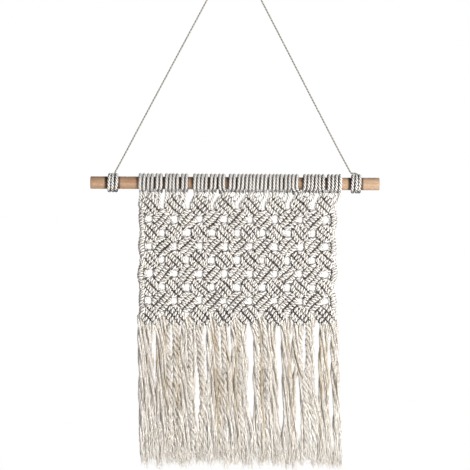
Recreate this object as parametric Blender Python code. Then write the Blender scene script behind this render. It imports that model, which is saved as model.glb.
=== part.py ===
"""Macrame wall hanging: a knotted cotton panel with a long fringe, on a wooden dowel hung by one string.

Metres, +Z up, +X to the right as seen from the front, and the wall lies behind at +Y. The origin is the
top of the hanging string, where a nail or a hook holds it. Cords are folded over the dowel in lark's heads,
knotted into blocks of three ridged bars each, and left loose below the last blocks as the fringe.
"""

import math
import random
from collections import namedtuple

import bpy
from mathutils import Vector
from mathutils.geometry import delaunay_2d_cdt

# Driving dimensions
SEAT_GAP = 0.0003
DOWEL_LENGTH = 0.300
DOWEL_RADIUS = 0.0065
DOWEL_CHAMFER = 0.0006
DOWEL_SIDES = 24
DOWEL_DROP = 0.2386  # from the nail down to the dowel's axis
DOWEL_SHIFT = 0.0016  # the dowel's middle, to the right of the nail

CORD_RADIUS = 0.0017  # the cord drawn tight round the dowel
CORD_SIDES = 5
WRAP_PITCH = 0.0037  # between the two wraps of one lark's head
WRAP_STEP = math.radians(54)  # between two points of a wrap round the dowel
CROSSBAR_Y = 0.0015  # the bar of a lark's head passes behind its two ends
CROSSBAR_DROP = 0.0094

HANG_Y = -0.0025  # the panel hangs under the dowel's front half
PANEL_SHIFT = 0.0047  # the panel's middle, to the right of the nail
HALF_PITCH = 0.01301  # half the pitch of the block columns
LEVEL_PITCH = 0.0141  # from one level of blocks to the next
FIRST_LEVEL_DROP = 0.0235  # from the dowel's axis to the middle of the first blocks
LEVELS = 9
LAST_COLUMN = 16  # columns run from 0 to 16 in half pitches, with blocks where column + level is even
PANEL_TOP_DROP = 0.0094  # from the dowel's axis to the top of the panel's cords

CREST = 0.0039  # half the panel's thickness along a bar
CREST_END = 0.0031
OUTER_CREST = 0.0036  # along the two outer bars of a block
GROOVE = 0.0022  # between two bars of a block
SEAM = 0.0018  # between two blocks
RIM = 0.0013  # round the openings and along the sides
STRAND_CREST = 0.0019
STRAND_GROOVE = 0.0012
MIDDLE_REACH = 0.42  # a bar's crest to each side of the block's middle, as a share of the block's side
OUTER_REACH = 0.28
ROUNDING = 0.72  # places the slanted corners of an opening, as a share of its half width and half height
STRAND_HALF_WIDTH = 0.0016

NOTCH = 0.0020  # half the width of the notches between the teeth of the lower edge
TOOTH_TIP = 0.0016  # half the width of a tooth's blunt tip
FRINGE_DROP = 0.0007  # clear of the lower edge, measured straight down
FRINGE_STRIP = 0.0030  # height of the strip that holds the fringe's roots
FRINGE_HALF_DEPTH = 0.0024
FRINGE_BOTTOM_DROP = 0.2905  # from the dowel's axis to the mean lower end of the fringe
FRINGE_RAGGED = 0.0045
FRINGE_SWAY = 0.0008
FRINGE_WAVE_DOWN = 70  # radians of the slow wave to each metre down, and to each metre across
FRINGE_WAVE_ACROSS = 45
SWAY_START = 0.2  # the share of a lock's length over which the sway sets in
LOCK_LEAN = 0.0010  # how far a lock's lower end may swing to the front or the back

TIE_PITCH = 0.0039
TIE_TURNS = 3
TIE_POINTS = 10  # to each turn
TIE_SIDES = 6
STRING_RADIUS = 0.0009
STRING_POINTS = 79

# The three lark's heads over each column of blocks, measured from the column's middle
HeadGroup = namedtuple("HeadGroup", "left middle right")
HEAD_GROUPS = (
    HeadGroup(-0.0083, 0.0000, 0.0093),
    HeadGroup(-0.0071, 0.0003, 0.0098),
    HeadGroup(-0.0038, 0.0040, 0.0134),
    HeadGroup(-0.0038, 0.0071, 0.0159),
    HeadGroup(-0.0020, 0.0054, 0.0137),
    HeadGroup(-0.0037, 0.0038, 0.0124),
    HeadGroup(-0.0060, 0.0063, 0.0139),
    HeadGroup(-0.0046, 0.0052, 0.0130),
)

# The openings between the blocks, one row for each level, the first one open up to the dowel
Opening = namedtuple("Opening", "level half_width half_height")
OPENINGS = (
    Opening(1, 0.0032, 0.0042),
    Opening(2, 0.0034, 0.0040),
    Opening(3, 0.0030, 0.0034),
    Opening(4, 0.0033, 0.0039),
    Opening(5, 0.0026, 0.0030),
    Opening(6, 0.0032, 0.0038),
    Opening(7, 0.0025, 0.0028),
    Opening(8, 0.0031, 0.0036),
)

# Where the fringe parts: place is measured from the nail, top and bottom from the dowel's axis down
Parting = namedtuple("Parting", "place width top bottom")
PARTINGS = (
    Parting(-0.0817, 0.0030, 0.146, 0.210),
    Parting(-0.0625, 0.0022, 0.146, 0.204),
    Parting(-0.0531, 0.0020, 0.150, 0.226),
    Parting(-0.0443, 0.0020, 0.158, 0.208),
    Parting(-0.0324, 0.0046, 0.146, 0.252),
    Parting(-0.0028, 0.0024, 0.148, 0.186),
    Parting(0.0180, 0.0040, 0.148, 0.208),
    Parting(0.0465, 0.0026, 0.148, 0.230),
    Parting(0.0683, 0.0024, 0.208, 0.272),
    Parting(0.0745, 0.0020, 0.158, 0.202),
    Parting(0.0880, 0.0026, 0.148, 0.192),
    Parting(0.0994, 0.0026, 0.196, 0.252),
)
PARTING_REACH = 0.013

# Rings of a fringe lock: share of its length from the root, and size beside the root's triangle
LockStage = namedtuple("LockStage", "share size")
LOCK_STAGES = (LockStage(0.07, 0.84), LockStage(0.34, 0.77), LockStage(0.68, 0.77), LockStage(1.0, 0.50))

# Where the panel's side cords turn back: distance inward from the lattice's side, and reach up and down
TurnLine = namedtuple("TurnLine", "inward reach half")
TURN_LINES = (
    TurnLine(0.0029, 0.0092, 0.0026),
    TurnLine(0.0042, 0.0074, 0.0014),
    TurnLine(0.0056, 0.0060, 0.0026),
    TurnLine(0.0069, 0.0040, 0.0014),
    TurnLine(0.0083, 0.0026, 0.0026),
)

# Where the three left cords of a column land on its first block, from the block's middle; the right mirror them
Landing = namedtuple("Landing", "x z")
LANDINGS = (Landing(-0.0091, 0.0046), Landing(-0.0062, 0.0077), Landing(-0.0026, 0.0112))

# Middles of the two ties on the dowel, measured from the nail
TIE_PLACES = {"hanger_tie_left": -0.1250, "hanger_tie_right": 0.1271}

# The string's route from the left tie over the nail to the right tie, as x, y, z
STRING_ROUTE = (
    (-0.1226, 0.0000, -0.2272),
    (-0.1196, 0.0001, -0.2216),
    (-0.1121, 0.0002, -0.2075),
    (-0.0991, 0.0001, -0.1826),
    (-0.0858, -0.0001, -0.1573),
    (-0.0722, -0.0002, -0.1316),
    (-0.0586, 0.0000, -0.1057),
    (-0.0450, 0.0001, -0.0800),
    (-0.0315, 0.0001, -0.0543),
    (-0.0180, 0.0000, -0.0286),
    (-0.0091, 0.0000, -0.0116),
    (-0.0046, 0.0000, -0.0031),
    (-0.0026, 0.0000, -0.0008),
    (0.0000, 0.0000, 0.0000),
    (0.0026, 0.0000, -0.0008),
    (0.0046, 0.0000, -0.0031),
    (0.0090, 0.0000, -0.0115),
    (0.0179, 0.0000, -0.0286),
    (0.0311, -0.0001, -0.0543),
    (0.0445, -0.0002, -0.0800),
    (0.0579, -0.0001, -0.1057),
    (0.0713, 0.0001, -0.1316),
    (0.0847, 0.0002, -0.1573),
    (0.0979, 0.0002, -0.1826),
    (0.1110, 0.0001, -0.2075),
    (0.1187, 0.0000, -0.2216),
    (0.1220, 0.0000, -0.2272),
)

SheetPoint = namedtuple("SheetPoint", "x z half")


def paint(name, colour, roughness):
    """A plain matt material."""
    material = bpy.data.materials.new(name)
    material.use_nodes = True
    shader = material.node_tree.nodes["Principled BSDF"]
    shader.inputs["Base Color"].default_value = (*colour, 1.0)
    shader.inputs["Roughness"].default_value = roughness
    shader.inputs["Metallic"].default_value = 0.0
    material.diffuse_color = (*colour, 1.0)
    return material


def add_object(name, data, material):
    """Link a mesh or a curve as a named object with its material."""
    data.materials.append(material)
    thing = bpy.data.objects.new(name, data)
    bpy.context.collection.objects.link(thing)
    return thing


def add_mesh(name, points, faces, material):
    mesh = bpy.data.meshes.new(name)
    mesh.from_pydata([tuple(point) for point in points], [], faces)
    mesh.shade_smooth()
    mesh.set_sharp_from_angle(angle=math.radians(50))
    return add_object(name, mesh, material)


# ---------------------------------------------------------------- dowel


def turned_rod(length, radius, chamfer, sides):
    """A rod along X about its own middle, with chamfered ends."""
    half = length / 2
    narrow = radius - chamfer
    rings = ((-half, narrow), (-half + chamfer, radius), (half - chamfer, radius), (half, narrow))
    points = []
    for x, ring_radius in rings:
        for side in range(sides):
            angle = 2 * math.pi * side / sides
            points.append((x, ring_radius * math.cos(angle), ring_radius * math.sin(angle)))
    faces = [tuple(reversed(range(sides)))]
    for ring in range(len(rings) - 1):
        for side in range(sides):
            after = (side + 1) % sides
            start = ring * sides
            faces.append((start + side, start + after, start + sides + after, start + sides + side))
    faces.append(tuple(range(len(points) - sides, len(points))))
    return points, faces


def make_dowel(material):
    points, faces = turned_rod(DOWEL_LENGTH, DOWEL_RADIUS, DOWEL_CHAMFER, DOWEL_SIDES)
    dowel = add_mesh("dowel", points, faces, material)
    dowel.location = (DOWEL_SHIFT, 0, -DOWEL_DROP)


# ---------------------------------------------------------------- cords round the dowel


def tube(route, radius, sides):
    """A closed round cord along a route, its rings kept from turning about the cord."""
    route = [Vector(point) for point in route]
    aims = []
    for place, _ in enumerate(route):
        before = route[max(place - 1, 0)]
        after = route[min(place + 1, len(route) - 1)]
        aims.append((after - before).normalized())
    normal = aims[0].orthogonal().normalized()
    points = []
    for aim, middle in zip(aims, route):
        normal = (normal - aim * normal.dot(aim)).normalized()
        other = aim.cross(normal)
        for side in range(sides):
            angle = 2 * math.pi * side / sides
            points.append(middle + radius * (math.cos(angle) * normal + math.sin(angle) * other))
    faces = [tuple(reversed(range(sides)))]
    for ring in range(len(route) - 1):
        for side in range(sides):
            after = (side + 1) % sides
            start = ring * sides
            faces.append((start + side, start + after, start + sides + after, start + sides + side))
    faces.append(tuple(range(len(points) - sides, len(points))))
    return points, faces


def wrap_radius(step):
    """How far from the axis a wrap's points lie, so that its straight stretches clear the dowel as well."""
    return (DOWEL_RADIUS + SEAT_GAP + CORD_RADIUS) / math.cos(step / 2)


def lark_head_route(place):
    """Up the front of the dowel, over it, down the back, across behind both ends, and the same way back."""
    radius = wrap_radius(WRAP_STEP)
    end_z = -PANEL_TOP_DROP + SEAT_GAP
    side = [(HANG_Y, end_z), (HANG_Y, end_z + 0.0012)]
    for step in range(6):
        angle = math.radians(225) - step * WRAP_STEP
        side.append((radius * math.cos(angle), radius * math.sin(angle)))
    half = WRAP_PITCH / 2
    outward = [(place - half, y, z) for y, z in side]
    back = [(place + half, y, z) for y, z in reversed(side)]
    crossbar = [(place + share * half, CROSSBAR_Y, -CROSSBAR_DROP) for share in (-0.75, 0.75)]
    return outward + crossbar + back


def head_places():
    """The x of all lark's heads, left to right."""
    places = []
    for group, heads in enumerate(HEAD_GROUPS):
        middle = lattice_point(2 * group + 1, 1).x
        places.extend(middle + offset for offset in heads)
    return places


def make_lark_heads(material):
    for number, place in enumerate(head_places(), start=1):
        points, faces = tube(lark_head_route(place), CORD_RADIUS, CORD_SIDES)
        head = add_mesh(f"lark_head_{number:02d}", points, faces, material)
        head.location = (0, 0, -DOWEL_DROP)


def make_ties(material):
    """Each end of the string is held by a cord wound three times round the dowel."""
    radius = wrap_radius(2 * math.pi / TIE_POINTS)
    for name, place in TIE_PLACES.items():
        route = []
        for step in range(TIE_TURNS * TIE_POINTS):
            turn = step / TIE_POINTS
            angle = 2 * math.pi * turn + math.pi / 2
            x = (turn - TIE_TURNS / 2) * TIE_PITCH
            route.append((x, -radius * math.cos(angle), radius * math.sin(angle)))
        points, faces = tube(route, CORD_RADIUS, TIE_SIDES)
        tie = add_mesh(name, points, faces, material)
        tie.location = (place, 0, -DOWEL_DROP)


# ---------------------------------------------------------------- knotted panel


def lattice_point(column, level):
    """A point of the block lattice, in the plane of the panel."""
    x = PANEL_SHIFT + (column - LAST_COLUMN / 2) * HALF_PITCH
    z = -DOWEL_DROP - FIRST_LEVEL_DROP - (level - 1) * LEVEL_PITCH
    return Vector((x, 0, z))


class Sheet:
    """Points of a flat sheet, each with the sheet's half thickness there, and lines drawn through them."""

    def __init__(self):
        self.points = []
        self.lines = []
        self.loops = []
        self.places = {}

    def add_point(self, point):
        key = (round(point.x, 6), round(point.z, 6))
        if key not in self.places:
            self.places[key] = len(self.points)
            self.points.append(point)
        return self.places[key]

    def add_line(self, line):
        numbers = [self.add_point(point) for point in line]
        self.lines.extend(zip(numbers, numbers[1:]))
        return numbers

    def add_loop(self, loop):
        numbers = self.add_line(list(loop) + [loop[0]])
        self.loops.append(set(numbers))

    def solid(self, middle_y):
        """The sheet as a closed solid: triangles in front, the same behind, and walls along every edge."""
        flat = [Vector((point.x, point.z)) for point in self.points]
        found = delaunay_2d_cdt(flat, self.lines, [], 1, 1e-7)
        places, triangles, sources = found[0], found[2], found[3]
        halves = [self.points[source[0]].half for source in sources]
        numbers = [source[0] for source in sources]
        kept = [
            corners
            for corners in triangles
            if not any(all(numbers[corner] in loop for corner in corners) for loop in self.loops)
        ]
        count = len(places)
        points = [(place.x, middle_y - half, place.y) for place, half in zip(places, halves)]
        points += [(place.x, middle_y + half, place.y) for place, half in zip(places, halves)]
        faces = [tuple(corners) for corners in kept]
        faces += [tuple(corner + count for corner in reversed(corners)) for corners in kept]
        sides = {pair for corners in kept for pair in zip(corners, corners[1:] + corners[:1])}
        for first, second in sorted(sides):
            if (second, first) not in sides:
                faces.append((second, first, first + count, second + count))
        return points, faces


def around(centre, offsets, half):
    """Sheet points at offsets from a point of the lattice."""
    return [SheetPoint(centre.x + x, centre.z + z, half) for x, z in offsets]


def opening_corner(column, level, right, up):
    """The slanted corner of the opening at a lattice point, where the seam between two blocks starts."""
    opening = OPENINGS[level - 1]
    offset = (right * ROUNDING * opening.half_width, up * ROUNDING * opening.half_height)
    return around(lattice_point(column, level), [offset], SEAM)[0]


def opening_loop(column, opening):
    """The eight-sided rim of an opening, from its left point round by its lowest one."""
    wide, tall = opening.half_width, opening.half_height
    slant_x = ROUNDING * wide
    slant_z = ROUNDING * tall
    offsets = (
        (-wide, 0),
        (-slant_x, -slant_z),
        (0, -tall),
        (slant_x, -slant_z),
        (wide, 0),
        (slant_x, slant_z),
        (0, tall),
        (-slant_x, slant_z),
    )
    points = around(lattice_point(column, opening.level), offsets, RIM)
    return [point._replace(half=SEAM) if turn % 2 else point for turn, point in enumerate(points)]


def side_inset(level):
    """How far the panel's sides lie inside the lattice: the cords bulge out between the blocks."""
    return 0.0019 if level % 2 else 0.0011


def side_points(column, level):
    """The panel's edge beside one level, from top to bottom, with the stretch to the next level."""
    inward = 1 if column == 0 else -1
    centre = lattice_point(column, level)
    here = side_inset(level)
    between = (here + side_inset(level + 1)) / 2
    offsets = [(inward * here, 0), (inward * between, -LEVEL_PITCH / 2)]
    return around(centre, offsets, RIM)


def hem_points():
    """The toothed lower edge, left to right, one blunt tooth under each block of the last level."""
    hem = []
    for column in range(1, LAST_COLUMN, 2):
        left = lattice_point(column - 1, LEVELS)
        tip = lattice_point(column, LEVELS + 1)
        right = lattice_point(column + 1, LEVELS)
        hem += around(left, [(NOTCH, -NOTCH)], RIM)
        hem += around(tip, [(-TOOTH_TIP, TOOTH_TIP), (TOOTH_TIP, TOOTH_TIP)], RIM)
        hem += around(right, [(-NOTCH, -NOTCH)], RIM)
        if column + 1 < LAST_COLUMN:
            hem += around(right, [(0, NOTCH / 2)], RIM)
    return hem


def strand_tops(group):
    """The six cords that come down from one group of lark's heads, at the top of the panel."""
    column = 2 * group + 1
    middle = lattice_point(column, 1).x
    top = -DOWEL_DROP - PANEL_TOP_DROP
    ends = [middle + offset + side * WRAP_PITCH / 2 for offset in HEAD_GROUPS[group] for side in (-1, 1)]
    return [SheetPoint(x, top, STRAND_CREST) for x in ends]


def crown_top(group):
    """The upper edge over one column of blocks, with a groove between each two cords."""
    tops = strand_tops(group)
    first = tops[0]
    last = tops[-1]
    edge = [first._replace(x=first.x - STRAND_HALF_WIDTH, half=RIM), first]
    for before, after in zip(tops, tops[1:]):
        edge.append(SheetPoint((before.x + after.x) / 2, first.z, STRAND_GROOVE))
        edge.append(after)
    edge.append(last._replace(x=last.x + STRAND_HALF_WIDTH, half=RIM))
    return edge


def panel_outline():
    """The whole outer edge, from the upper left down the side, along the hem, up and back over the top."""
    outline = []
    for level in range(1, LEVELS):
        outline += side_points(0, level)
    outline += side_points(0, LEVELS)[:1]
    outline += hem_points()
    outline += side_points(LAST_COLUMN, LEVELS)[:1]
    for level in range(LEVELS - 1, 0, -1):
        outline += reversed(side_points(LAST_COLUMN, level))
    for group in range(len(HEAD_GROUPS) - 1, -1, -1):
        outline += reversed(crown_top(group))
        if group:
            slot = opening_loop(2 * group, OPENINGS[0])
            outline += [slot[5], slot[4], slot[3], slot[2], slot[1], slot[0], slot[7]]
    return outline


def draw_block(sheet, column, level):
    """Three ridged bars, down to the right on odd levels and down to the left on even ones."""
    centre = lattice_point(column, level)
    lean = 1 if level % 2 else -1
    along = Vector((lean * HALF_PITCH, 0, -LEVEL_PITCH))
    across = Vector((-lean * HALF_PITCH, 0, -LEVEL_PITCH))
    for bar in (-1, 0, 1):
        reach = OUTER_REACH if bar else MIDDLE_REACH
        stations = ((-reach, OUTER_CREST), (reach, OUTER_CREST))
        if bar == 0:
            stations = ((-reach, CREST_END), (0, CREST), (reach, CREST_END))
        crest = []
        for share, half in stations:
            place = centre + share * along + bar / 3 * across
            crest.append(SheetPoint(place.x, place.z, half))
        sheet.add_line(crest)
    for groove in (-1, 1):
        ends = [centre + share * along + groove / 6 * across for share in (-MIDDLE_REACH, MIDDLE_REACH)]
        sheet.add_line([SheetPoint(place.x, place.z, GROOVE) for place in ends])


def draw_seams(sheet):
    """The grooves between neighbouring blocks, from the corner of one opening to the next."""
    for level in range(1, LEVELS - 1):
        for column in range(1, LAST_COLUMN):
            if (column + level) % 2 == 0:
                continue
            for step in (-1, 1):
                if 0 < column + step < LAST_COLUMN:
                    start = opening_corner(column, level, step, -1)
                    end = opening_corner(column + step, level + 1, -step, 1)
                    sheet.add_line([start, end])


def draw_turns(sheet):
    """At the sides the three outer cords of each second level turn back, side by side."""
    for column, inward in ((0, 1), (LAST_COLUMN, -1)):
        for level in range(2, LEVELS, 2):
            centre = lattice_point(column, level)
            for line in TURN_LINES:
                x = inward * line.inward
                sheet.add_line(around(centre, [(x, line.reach), (x, 0), (x, -line.reach)], line.half))


def draw_crown(sheet, group):
    """The cords between the dowel and the first blocks, each down to its place on the block's upper sides."""
    centre = lattice_point(2 * group + 1, 1)
    feet = list(LANDINGS) + [Landing(-landing.x, landing.z) for landing in reversed(LANDINGS)]
    for top, foot in zip(strand_tops(group), feet):
        sheet.add_line([top] + around(centre, [foot], STRAND_CREST))


def draw_openings(sheet):
    for opening in OPENINGS[1:]:
        for column in range(1, LAST_COLUMN):
            if (column + opening.level) % 2:
                sheet.add_loop(opening_loop(column, opening))


def make_panel(material):
    sheet = Sheet()
    outline = panel_outline()
    sheet.add_line(outline + outline[:1])
    draw_openings(sheet)
    draw_seams(sheet)
    draw_turns(sheet)
    for level in range(1, LEVELS + 1):
        for column in range(1, LAST_COLUMN):
            if (column + level) % 2 == 0:
                draw_block(sheet, column, level)
    for group in range(len(HEAD_GROUPS)):
        draw_crown(sheet, group)
    points, faces = sheet.solid(HANG_Y)
    add_mesh("knotted_panel", points, faces, material)


# ---------------------------------------------------------------- fringe


def fringe_stations():
    """Points along the hem where the fringe's strip has its joints, about one lock apart."""
    hem = hem_points()
    stations = []
    for first, second in zip(hem, hem[1:]):
        parts = 3 if second.x - first.x > 3 * NOTCH else 1
        for part in range(parts):
            share = part / parts
            x = first.x + share * (second.x - first.x)
            z = first.z + share * (second.z - first.z)
            stations.append((x, z - FRINGE_DROP))
    last = hem[-1]
    stations.append((last.x, last.z - FRINGE_DROP))
    return stations


def sway(x, z):
    """How far the fringe at x, z is pushed aside by its partings and its slow wave."""
    drop = -DOWEL_DROP - z
    push = 0.0
    for parting in PARTINGS:
        share = (drop - parting.top) / (parting.bottom - parting.top)
        if 0 < share < 1:
            away = x - parting.place
            fade = math.exp(-abs(away) / PARTING_REACH)
            push += math.copysign(parting.width / 2, away) * fade * math.sin(math.pi * share) ** 2
    return push + FRINGE_SWAY * math.sin(FRINGE_WAVE_DOWN * z + FRINGE_WAVE_ACROSS * x)


def lock_rings(corners, tip_z, lean):
    """Rings of a three-sided lock below its root, each a smaller copy of the root's triangle."""
    middle = sum(corners, Vector()) / 3
    rings = []
    for share, size in LOCK_STAGES:
        z = middle.z + share * (tip_z - middle.z)
        shift = sway(middle.x, z) * min(1.0, share / SWAY_START)
        ring = []
        for corner in corners:
            offset = (corner - middle) * size
            ring.append(Vector((middle.x + shift + offset.x, middle.y + offset.y + lean * share, z)))
        rings.append(ring)
    return rings


def make_fringe(material):
    """A narrow strip along the hem, with a lock drawn down from each triangle of its lower face."""
    draw = random.Random(11)
    stations = fringe_stations()
    points = []
    for x, z in stations:
        for y in (HANG_Y - FRINGE_HALF_DEPTH, HANG_Y + FRINGE_HALF_DEPTH):
            points.append(Vector((x, y, z)))
            points.append(Vector((x, y, z - FRINGE_STRIP)))
    front_top, front_low, back_top, back_low = range(4)
    faces = [(front_top, back_top, back_low, front_low)]
    for station in range(len(stations) - 1):
        here, there = 4 * station, 4 * (station + 1)
        faces.append((here + front_top, there + front_top, there + front_low, here + front_low)[::-1])
        faces.append((here + back_top, here + back_low, there + back_low, there + back_top)[::-1])
        faces.append((here + front_top, here + back_top, there + back_top, there + front_top)[::-1])
        roots = (
            (here + front_low, there + front_low, here + back_low),
            (there + front_low, there + back_low, here + back_low),
        )
        for root, lean in zip(roots, (-1, 1)):
            tip_z = -DOWEL_DROP - FRINGE_BOTTOM_DROP + draw.uniform(-FRINGE_RAGGED, FRINGE_RAGGED)
            above = list(root)
            corners = [points[corner] for corner in root]
            for ring in lock_rings(corners, tip_z, lean * draw.uniform(0, LOCK_LEAN)):
                below = list(range(len(points), len(points) + 3))
                points.extend(ring)
                for side in range(3):
                    after = (side + 1) % 3
                    faces.append((above[side], below[side], below[after], above[after]))
                above = below
            faces.append(tuple(reversed(above)))
    end = 4 * (len(stations) - 1)
    faces.append((end + front_top, end + front_low, end + back_low, end + back_top))
    add_mesh("fringe", points, faces, material)


# ---------------------------------------------------------------- hanging string


def smooth_route(route, count):
    """Evenly spaced points on a smooth curve through the route's own points."""
    route = [Vector(point) for point in route]
    ends = [2 * route[0] - route[1]] + route + [2 * route[-1] - route[-2]]
    fine = []
    for place in range(1, len(ends) - 2):
        before, start, stop, after = ends[place - 1 : place + 3]
        for step in range(20):
            t = step / 20
            bend = (3 * start - before - 3 * stop + after) * t**3
            turn = (2 * before - 5 * start + 4 * stop - after) * t**2
            fine.append((2 * start + (stop - before) * t + turn + bend) / 2)
    fine.append(route[-1])
    travelled = [0.0]
    for first, second in zip(fine, fine[1:]):
        travelled.append(travelled[-1] + (second - first).length)
    spaced = []
    segment = 0
    for number in range(count):
        target = travelled[-1] * number / (count - 1)
        while segment < len(fine) - 2 and travelled[segment + 1] < target:
            segment += 1
        share = (target - travelled[segment]) / (travelled[segment + 1] - travelled[segment])
        spaced.append(fine[segment].lerp(fine[segment + 1], share))
    return spaced


def make_string(material):
    curve = bpy.data.curves.new("hanging_string", "CURVE")
    curve.dimensions = "3D"
    curve.bevel_depth = STRING_RADIUS
    curve.bevel_resolution = 2
    curve.use_fill_caps = True
    spline = curve.splines.new("POLY")
    places = smooth_route(STRING_ROUTE, STRING_POINTS)
    spline.points.add(len(places) - 1)
    for point, place in zip(spline.points, places):
        point.co = (*place, 1.0)
    add_object("hanging_string", curve, material)


def clear_scene():
    for thing in list(bpy.data.objects):
        bpy.data.objects.remove(thing, do_unlink=True)


def main():
    clear_scene()
    wood = paint("tan_wood", (0.50, 0.31, 0.18), 0.55)
    cotton = paint("natural_cotton", (0.71, 0.67, 0.60), 0.85)
    combed = paint("combed_cotton", (0.74, 0.68, 0.59), 0.9)
    twine = paint("thin_twine", (0.60, 0.58, 0.52), 0.85)
    make_dowel(wood)
    make_lark_heads(cotton)
    make_ties(cotton)
    make_panel(cotton)
    make_fringe(combed)
    make_string(twine)


main()
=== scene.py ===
import math
import random
from collections import namedtuple
from functools import partial

import bpy
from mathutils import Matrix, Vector


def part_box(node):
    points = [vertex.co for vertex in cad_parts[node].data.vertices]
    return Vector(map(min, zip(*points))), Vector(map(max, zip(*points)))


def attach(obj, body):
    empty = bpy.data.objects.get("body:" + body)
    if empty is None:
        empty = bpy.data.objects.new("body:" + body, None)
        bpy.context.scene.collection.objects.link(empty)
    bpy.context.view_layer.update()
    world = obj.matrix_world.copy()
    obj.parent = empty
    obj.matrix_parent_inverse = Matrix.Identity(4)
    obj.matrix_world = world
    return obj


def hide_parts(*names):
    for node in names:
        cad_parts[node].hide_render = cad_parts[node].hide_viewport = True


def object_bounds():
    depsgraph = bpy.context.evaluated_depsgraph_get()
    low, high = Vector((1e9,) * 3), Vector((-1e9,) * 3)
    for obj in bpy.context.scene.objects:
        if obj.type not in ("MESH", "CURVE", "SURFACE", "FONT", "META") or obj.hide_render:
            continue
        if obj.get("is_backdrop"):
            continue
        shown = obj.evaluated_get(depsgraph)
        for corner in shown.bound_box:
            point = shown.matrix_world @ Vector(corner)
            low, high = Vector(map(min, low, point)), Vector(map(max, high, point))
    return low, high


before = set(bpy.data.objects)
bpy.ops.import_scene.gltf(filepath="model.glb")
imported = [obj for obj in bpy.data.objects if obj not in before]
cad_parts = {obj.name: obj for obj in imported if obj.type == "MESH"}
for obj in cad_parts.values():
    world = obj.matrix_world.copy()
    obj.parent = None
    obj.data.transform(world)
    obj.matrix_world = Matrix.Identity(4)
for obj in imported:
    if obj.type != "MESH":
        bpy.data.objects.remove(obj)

# A macrame wall hanging. Metres, +Z up, the front faces -Y, and the origin is the top of the hanging string.
cad_low, cad_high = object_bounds()
scene = bpy.context.scene

# ================================================================== wooden dowel
# A half-inch rod of pale softwood, sawn to length and sanded so that its edges are just broken. It is left
# bare, and every cord is looped straight on to it.

DOWEL_SIDES = 64
DOWEL_RINGS = 60
EDGE_ROUNDING = 0.0008
EDGE_STEPS = 5
UNEVEN = 0.00005  # how far the sanded surface strays from a true rod
UNEVEN_FAST = 95  # radians of it to each metre along the rod
UNEVEN_SLOW = 31
TAN_WOOD = (0.36, 0.215, 0.122, 1)
RED_WOOD = (0.31, 0.160, 0.092, 1)
PALE_WOOD = (0.50, 0.355, 0.235, 1)
DARK_GRAIN = (0.19, 0.100, 0.055, 1)
SHADED_WOOD = (0.050, 0.026, 0.017, 1)
PITH_BACK = 0.021  # how far behind the rod's axis the middle of its growth rings lies
PITH_DOWN = 0.010  # and how far below it
RING_PACE = 4300.0  # radians of the rings to each metre from their middle
RING_DRIFT = 0.0035  # how far the rings stray
PALE_FROM = 0.085  # from the rod's middle, where it begins to turn paler towards its right end
PALE_TO = 0.135
GRAIN_DEPTH = 0.00012

HEADS = 24
NO_CORD = 1.0  # stands for the distance to the next cord where there is none
SHADE_STEPS = (-0.0016, -0.0008, -0.0001, 0.0008, 0.0016)  # from the side of a cord round the dowel
SHADE_LEFT = 0.0015  # how far the cords round the dowel shade the wood on their left
SHADE_RIGHT = 0.0008  # and on their right
NARROW_GAP = 0.0060  # how close two cords have to be to shade all the wood between them
FULL_SHADE = 0.85  # of the way to the colour of shaded wood

dowel_low, dowel_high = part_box("dowel")
dowel_axis = (dowel_low + dowel_high) / 2
DOWEL_RADIUS = (dowel_high.z - dowel_low.z) / 2
DOWEL_HALF = (dowel_high.x - dowel_low.x) / 2
head_nodes = [f"lark_head_{number:02d}" for number in range(1, HEADS + 1)]
wound_nodes = head_nodes + ["hanger_tie_left", "hanger_tie_right"]
wound_spans = [(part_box(node)[0].x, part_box(node)[1].x) for node in wound_nodes]


def put(tree, kind, feeds=None, **settings):
    """Add a node to a tree with its settings, its sockets fed by values or by other nodes' outputs."""
    node = tree.nodes.new(kind)
    for setting, value in settings.items():
        setattr(node, setting, value)
    for socket, feed in (feeds or {}).items():
        if isinstance(feed, bpy.types.NodeSocket):
            tree.links.new(feed, node.inputs[socket])
        else:
            node.inputs[socket].default_value = feed
    return node


def calc(tree, operation, *terms):
    return put(tree, "ShaderNodeMath", dict(enumerate(terms)), operation=operation).outputs[0]


def blend_colours(tree, factor, first, second, way="MIX"):
    feeds = {0: factor, 6: first, 7: second}
    return put(tree, "ShaderNodeMix", feeds, data_type="RGBA", blend_type=way).outputs[2]


def stretch(tree, vector, factors):
    return put(tree, "ShaderNodeVectorMath", {0: vector, 1: factors}, operation="MULTIPLY").outputs[0]


def clouds(tree, vector, detail=3.0, distortion=0.0):
    feeds = {"Vector": vector, "Scale": 1.0, "Detail": detail, "Distortion": distortion}
    return put(tree, "ShaderNodeTexNoise", feeds).outputs["Fac"]


def remap(tree, value, low, high, to_low=0.0, to_high=1.0):
    feeds = {"Value": value, "From Min": low, "From Max": high, "To Min": to_low, "To Max": to_high}
    return put(tree, "ShaderNodeMapRange", feeds).outputs["Result"]


def from_mesh(tree, *names):
    """What the mesh keeps under each of these names, for a material to use."""
    return [put(tree, "ShaderNodeAttribute", attribute_name=name).outputs["Fac"] for name in names]


def new_finish(name, roughness, sheen):
    """A matt material, its colour and bump still to be fed."""
    finish = bpy.data.materials.new(name)
    finish.use_nodes = True
    shader = finish.node_tree.nodes["Principled BSDF"]
    shader.inputs["Roughness"].default_value = roughness
    shader.inputs["Specular IOR Level"].default_value = 0.25
    shader.inputs["Sheen Weight"].default_value = sheen
    shader.inputs["Sheen Roughness"].default_value = 0.6
    return finish, finish.node_tree, shader


def feed_finish(tree, shader, colour, height, distance):
    tree.links.new(colour, shader.inputs["Base Color"])
    bump = put(tree, "ShaderNodeBump", {"Height": height, "Strength": 1.0, "Distance": distance})
    tree.links.new(bump.outputs["Normal"], shader.inputs["Normal"])


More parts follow.
